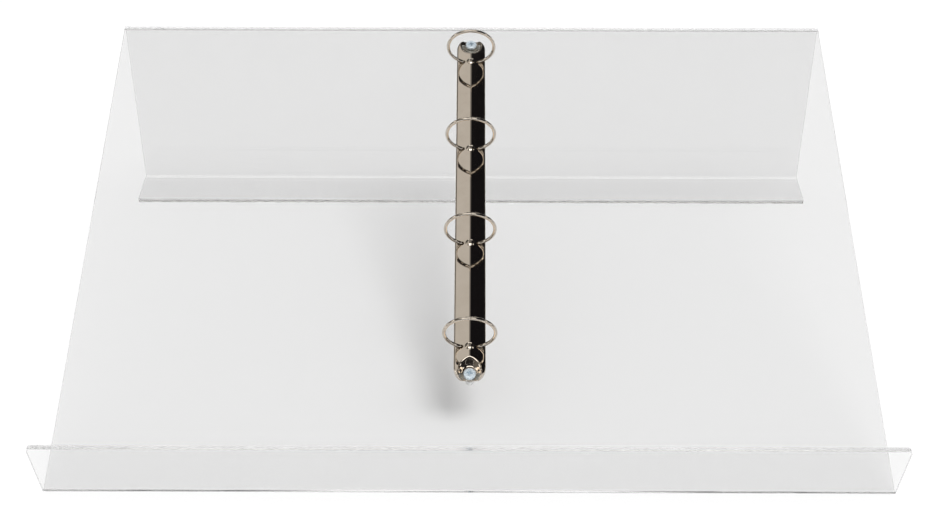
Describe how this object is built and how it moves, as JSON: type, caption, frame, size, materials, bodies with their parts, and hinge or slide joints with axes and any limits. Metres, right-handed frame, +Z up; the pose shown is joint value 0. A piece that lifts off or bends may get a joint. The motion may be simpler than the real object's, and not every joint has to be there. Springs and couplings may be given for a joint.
{
  "type": "photo album stand",
  "caption": "Sloping clear acrylic stand with a front lip and a ring binder mechanism down its middle, for showing album pages on a table.",
  "frame": {"origin": "on the table, under the middle of the object's box", "axes": "+X to the right across the stand, +Y from the lip at the front to the leg at the back, +Z up"},
  "size_m": [0.5, 0.3836, 0.1552],
  "materials": {
    "acrylic_stand": "clear, colourless, polished",
    "spine_cover": "bright nickel plate on steel",
    "left_blade": "blue-passivated zinc plate on steel",
    "right_blade": "blue-passivated zinc plate on steel",
    "left_half_ring_1": "bright nickel plate on steel",
    "left_half_ring_2": "bright nickel plate on steel",
    "left_half_ring_3": "bright nickel plate on steel",
    "left_half_ring_4": "bright nickel plate on steel",
    "right_half_ring_1": "bright nickel plate on steel",
    "right_half_ring_2": "bright nickel plate on steel",
    "right_half_ring_3": "bright nickel plate on steel",
    "right_half_ring_4": "bright nickel plate on steel",
    "top_screw": "blue-passivated zinc plate on steel",
    "bottom_screw": "blue-passivated zinc plate on steel",
    "top_cap_nut": "blue-passivated zinc plate on steel",
    "bottom_cap_nut": "blue-passivated zinc plate on steel"
  },
  "bodies": {
    "stand": {"acrylic_stand": "acrylic_stand", "spine_cover": "spine_cover", "top_screw": "top_screw", "bottom_screw": "bottom_screw", "top_cap_nut": "top_cap_nut", "bottom_cap_nut": "bottom_cap_nut"},
    "left_rings": {"left_blade": "left_blade", "left_half_ring_1": "left_half_ring_1", "left_half_ring_2": "left_half_ring_2", "left_half_ring_3": "left_half_ring_3", "left_half_ring_4": "left_half_ring_4"},
    "right_rings": {"right_blade": "right_blade", "right_half_ring_1": "right_half_ring_1", "right_half_ring_2": "right_half_ring_2", "right_half_ring_3": "right_half_ring_3", "right_half_ring_4": "right_half_ring_4"}
  },
  "joints": [
    {"name": "left_ring_hinge", "type": "hinge", "parent": "stand", "child": "left_rings", "pos_m": [-0.0085, 0.03041, 0.08036], "axis": [0, -0.9367, -0.3502], "range_deg": [0, 20]},
    {"name": "right_ring_hinge", "type": "hinge", "parent": "stand", "child": "right_rings", "pos_m": [0.0085, 0.03041, 0.08036], "axis": [0, 0.9367, 0.3502], "range_deg": [0, 20]}
  ],
  "couplings": [
    {"joint": "right_ring_hinge", "follows": "left_ring_hinge", "ratio": 1}
  ]
}
